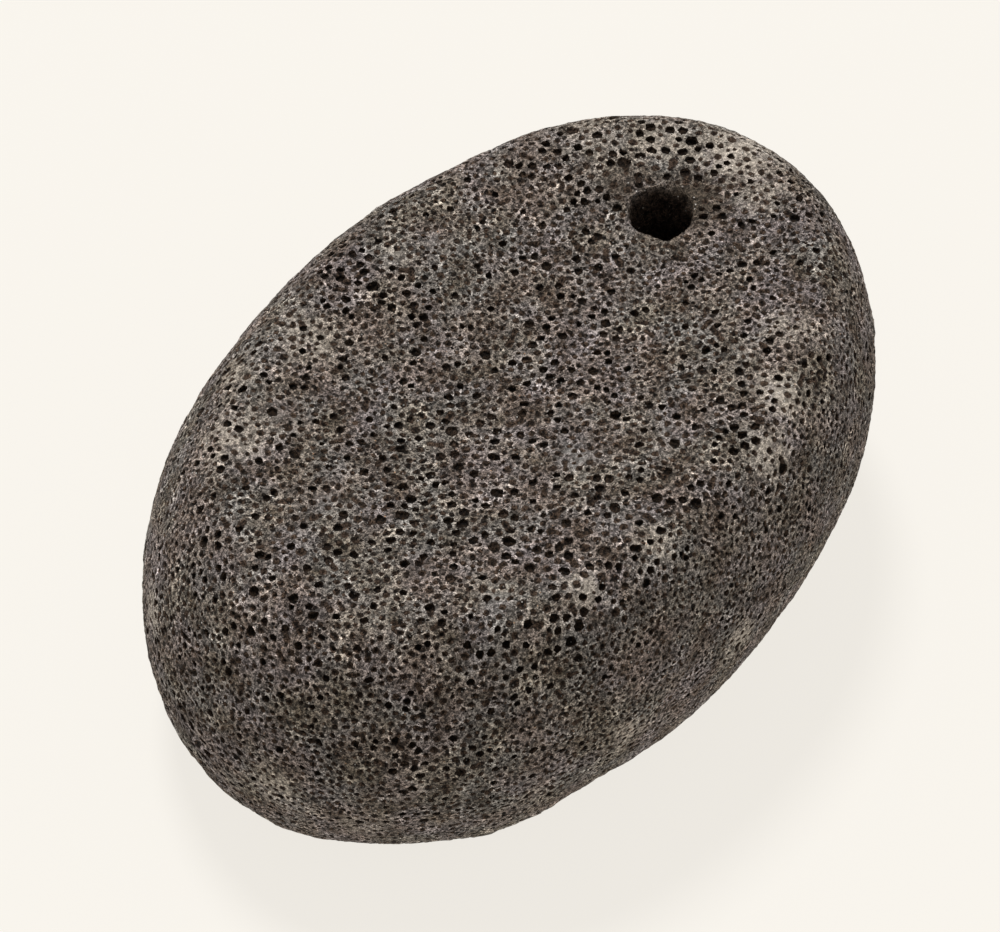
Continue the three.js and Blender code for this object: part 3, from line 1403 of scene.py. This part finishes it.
@dataclass(frozen=True)
class LavaFinish:
    """The stone's dry finish, with painted shade in its pits and hole and painted highlights on the
    rims of its bubbles and pin-holes.

    Attributes:
        skin: The clean skin between the bubbles.
        rubbed: The thin walls, pale partly from wear and partly as a painted highlight on the rims.
        brown: The sides of the pits, painted dark as painted shade.
        pit_shade: Their floors, painted near black as painted shade.
        cream: The rubbed patches.
        slate: The smooth patches.
        umber: The soiled patches and blotches.
        crystal: The pale crystals.
        rust: The rusty ones.
        warm: The tint where the stone is warmest; cool, plum and moss are its other tints.
        shine: How much it shines.
        roughness: How rough the grain and the crystals are.
        browned: How hollow the pits are where the painted shade turns them brown.
        blackened: How hollow they are where the painted shade turns them black.
        pin_blackened: Where a pin-hole's painted shade turns black.
        shaded: How hollow they are where crystals fade out into the painted shade.
        blotch: The width of the blotches.
        stained: Where a blotch turns from umber to clean.
        crumbly: Where the thin walls are made pale, by wear and by a painted highlight on the rims,
            among the crumbs.
        worn: Where they are made pale among the blotches, likewise.
        tint_widths: The widths of the tinted places.
        tinted: Where one tint turns into the other.
        cover: How much of the skin a patch hides.
        smooth: How smooth slate and cream patches are.
    """

    skin: Colour = (0.193, 0.168, 0.151)
    rubbed: Colour = (0.60, 0.54, 0.49)
    brown: Colour = (0.052, 0.034, 0.0235)
    pit_shade: Colour = (0.0125, 0.0070, 0.0036)
    cream: Colour = (0.50, 0.44, 0.37)
    slate: Colour = (0.245, 0.238, 0.222)
    umber: Colour = (0.086, 0.067, 0.050)
    crystal: Colour = (0.72, 0.68, 0.63)
    rust: Colour = (0.24, 0.14, 0.08)
    warm: Colour = (1.04, 1.0, 0.93)
    cool: Colour = (0.97, 1.0, 1.04)
    plum: Colour = (1.025, 0.975, 1.015)
    moss: Colour = (0.99, 1.01, 0.98)
    shine: float = 0.25
    roughness: Span = (0.95, 0.5)
    browned: Span = (0.03, 0.16)
    blackened: Span = (0.3, 0.72)
    pin_blackened: Span = (0.5, 1.0)
    shaded: Ramp = (0.3, 0.8, 1.0, 0.35)
    blotch: float = 3.2
    stained: Span = (0.22, 0.62)
    crumbly: Ramp = (0.35, 0.62, 0.2, 1.0)
    worn: Ramp = (0.38, 0.68, 0.2, 0.9)
    tint_widths: Span = (5.0, 7.3)
    tinted: Span = (0.35, 0.65)
    cover: float = 0.85
    smooth: Span = (0.75, 0.55)

    def make(self) -> Material:
        """Builds the material.

        Returns:
            The material.
        """
        material = bpy.data.materials.new("lava")
        material.use_nodes = True
        sheet = NodeSheet(material.node_tree)
        shader = material.node_tree.nodes["Principled BSDF"]
        shader.inputs["Specular IOR Level"].default_value = self.shine
        place = sheet.scaled(sheet.add("TexCoord", "Object"), 1 / MM)
        grain = sheet.group(MineralGrain().make(), Place=place)
        hollow = sheet.attribute("hollow")
        colour, calm = self.bare_skin(sheet, place)
        pits = sheet.times(grain.outputs["Pit"], calm)
        # grit: the grain's tone, with the painted shade and highlights of the crumbs and the
        # pin-holes' lips.
        grit = sheet.times(sheet.maths("SUBTRACT", grain.outputs["Shade"], 1.0), calm)
        grit = sheet.maths("ADD", grit, 1.0)
        colour = sheet.blend(grain.outputs["Rust"], colour, self.rust)
        # Pits and pin-holes are painted brown, then near black as they deepen: painted shade in the
        # hollows.
        inside = sheet.maths("MAXIMUM", sheet.ramp(hollow, *self.browned), pits)
        deep = sheet.maths(
            "MAXIMUM", sheet.ramp(hollow, *self.blackened), sheet.ramp(pits, *self.pin_blackened)
        )
        floor = sheet.blend(deep, self.brown, self.pit_shade)
        colour = sheet.blend(inside, colour, floor)
        shade = sheet.add("CombineColor", "Color", Red=grit, Green=grit, Blue=grit)
        colour = sheet.blend(1.0, colour, shade, "MULTIPLY")
        crystals = sheet.times(grain.outputs["Crystal"], sheet.ramp(hollow, *self.shaded))
        colour = sheet.blend(crystals, colour, self.crystal)
        sheet.feed(shader.inputs["Base Color"], colour)
        roughness = sheet.ramp(grain.outputs["Crystal"], 0.0, 1.0, *self.roughness)
        sheet.feed(shader.inputs["Roughness"], roughness)
        height = sheet.times(grain.outputs["Height"], calm)
        sheet.feed(shader.inputs["Normal"], sheet.add("Bump", "Normal", Distance=MM, Height=height))
        return material

    def bare_skin(self, sheet: NodeSheet, place: NodeSocket) -> tuple[NodeSocket, NodeSocket]:
        """Colours the skin between the bubbles.

        Args:
            sheet: The material's nodes.
            place: The place in millimetres.

        Returns:
            The colour, and how gritty the skin is: less where it is smooth.
        """
        blotches = sheet.cloud(place, self.blotch, 3.0)
        colour = sheet.blend(sheet.ramp(blotches, *self.stained), self.umber, self.skin)
        # The thin walls round the pits are painted pale: partly wear, partly a painted highlight on
        # the rims.
        crumbly = sheet.ramp(sheet.cloud(place, self.blotch / 4, 3.0), *self.crumbly)
        worn = sheet.times(sheet.ramp(blotches, *self.worn), crumbly)
        colour = sheet.blend(sheet.times(sheet.attribute("thin"), worn), colour, self.rubbed)
        tints = ((self.cool, self.warm), (self.moss, self.plum))
        for width, (one, other) in zip(self.tint_widths, tints):
            turn = sheet.ramp(sheet.cloud(place, width), *self.tinted)
            colour = sheet.blend(1.0, colour, sheet.blend(turn, one, other), "MULTIPLY")
        ragged = RaggedPatch().make()
        smooth = 0.0
        slate_smooth, cream_smooth = self.smooth
        for tint, paint, smoothness in (
            (Tint.SLATE, self.slate, slate_smooth),
            (Tint.CREAM, self.cream, cream_smooth),
            (Tint.UMBER, self.umber, 0.0),
        ):
            patch = sheet.group(ragged, Place=place, Amount=sheet.attribute(tint.value))
            mask = patch.outputs["Mask"]
            colour = sheet.blend(sheet.times(mask, self.cover), colour, paint)
            smooth = sheet.maths("MAXIMUM", smooth, sheet.times(mask, smoothness))
        return colour, sheet.maths("SUBTRACT", 1.0, smooth)


@dataclass
class Studio:
    """A plain pale floor, soft light and the camera.

    Attributes:
        floor_width: The floor's width, in metres.
        floor_colour: How the floor takes the light, which is little, so that its shadow is faint.
        floor_glow: The pale light that it gives out itself.
        sky_light: The light that the sky gives.
        sky_seen: The sky's own look, as pale as the floor.
        sun_strength: How strong the sun is.
        sun_width: How wide the sun looks, in degrees, which softens its shadow.
        sun_from: Where it stands.
        azimuth: How far round the camera stands, in degrees.
        elevation: How far up it stands, in degrees.
        distance: How far off it stands, in metres.
        lens: Its focal length.
        aim: How far right of the stone's middle and above it the camera looks, in metres.
    """

    floor_width: float = 12.0
    floor_colour: Colour = (0.12, 0.117, 0.11)
    floor_glow: Colour = (0.807, 0.776, 0.722)
    sky_light: Colour = (0.40, 0.392, 0.38)
    sky_seen: Colour = (0.925, 0.89, 0.83)
    sun_strength: float = 2.4
    sun_width: float = 14.0
    sun_from: tuple[float, float, float] = (0.27, 0.40, 1.0)
    azimuth: float = -50.44
    elevation: float = 52.0
    distance: float = 0.7256
    lens: float = 216.0
    aim: Span = (-0.00156, 0.00097)

    def make_floor(self) -> None:
        """Makes the pale floor."""
        plate = bmesh.new()
        bmesh.ops.create_grid(plate, x_segments=1, y_segments=1, size=self.floor_width / 2)
        shell = bpy.data.meshes.new("floor")
        plate.to_mesh(shell)
        plate.free()
        floor = bpy.data.objects.new("floor", shell)
        bpy.context.scene.collection.objects.link(floor)
        material = bpy.data.materials.new("floor")
        material.use_nodes = True
        shader = material.node_tree.nodes["Principled BSDF"]
        shader.inputs["Base Color"].default_value = (*self.floor_colour, 1)
        shader.inputs["Roughness"].default_value = 1.0
        shader.inputs["Emission Color"].default_value = (*self.floor_glow, 1)
        shader.inputs["Emission Strength"].default_value = 1.0
        shell.materials.append(material)

    def make_light(self) -> None:
        """Makes the soft light."""
        world = bpy.data.worlds.new("studio")
        world.use_nodes = True
        sheet = NodeSheet(world.node_tree)
        is_seen = sheet.add("LightPath", "Is Camera Ray")
        sky = sheet.blend(is_seen, self.sky_light, self.sky_seen)
        sheet.feed(world.node_tree.nodes["Background"].inputs["Color"], sky)
        bpy.context.scene.world = world
        sun = bpy.data.lights.new("key", "SUN")
        sun.energy = self.sun_strength
        sun.angle = math.radians(self.sun_width)
        lamp = bpy.data.objects.new("key", sun)
        bpy.context.scene.collection.objects.link(lamp)
        lamp.rotation_mode = "QUATERNION"
        lamp.rotation_quaternion = Vector(self.sun_from).to_track_quat("Z", "Y")

    def make_camera(self, middle: Vector) -> None:
        """Makes the camera.

        Args:
            middle: The stone's middle, in metres.
        """
        turn, tilt = math.radians(self.azimuth), math.radians(self.elevation)
        back = Vector(
            (math.sin(turn) * math.cos(tilt), -math.cos(turn) * math.cos(tilt), math.sin(tilt))
        )
        right = Vector((math.cos(turn), math.sin(turn), 0.0))
        up = back.cross(right)
        lens = bpy.data.cameras.new("camera")
        lens.lens = self.lens
        lens.sensor_width = 36.0
        camera = bpy.data.objects.new("camera", lens)
        bpy.context.scene.collection.objects.link(camera)
        aim = middle + right * self.aim[0] + up * self.aim[1]
        camera.location = aim + back * self.distance
        camera.rotation_mode = "QUATERNION"
        camera.rotation_quaternion = back.to_track_quat("Z", "Y")
        bpy.context.scene.camera = camera


def main() -> None:
    """Builds the stone and its studio."""
    logging.basicConfig(level=logging.INFO, format="%(name)s: %(message)s")
    chance = random.Random(SEED)
    (low_x, low_y, _), (high_x, high_y, _) = frame["record"]["physics"]["openings"][0]["box_m"]
    hole = Hole(x=(low_x + high_x) / 2 / MM, y=(low_y + high_y) / 2 / MM)
    studio = Studio()
    studio.make_camera((cad_box[0] + cad_box[1]) / 2)
    studio.make_floor()
    studio.make_light()
    pebble = Pebble(frame["nodes"]["stone"], hole)
    weathering = Weathering()
    weathering.lay(pebble, chance)
    pore_field = PoreField(pebble, hole, weathering, chance)
    pore_field.fill()
    log.info("bubbles thrown: %d", len(pore_field.pores))
    stone = StoneSkin(pebble, hole, weathering, pore_field.pores, chance).build()
    stone.data.materials.append(LavaFinish().make())
    log.info("stone: %d triangles", len(stone.data.polygons))
    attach(stone, "root")
    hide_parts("stone")
    bpy.context.scene.view_settings.view_transform = "Standard"


if __name__ == "__main__":
    main()
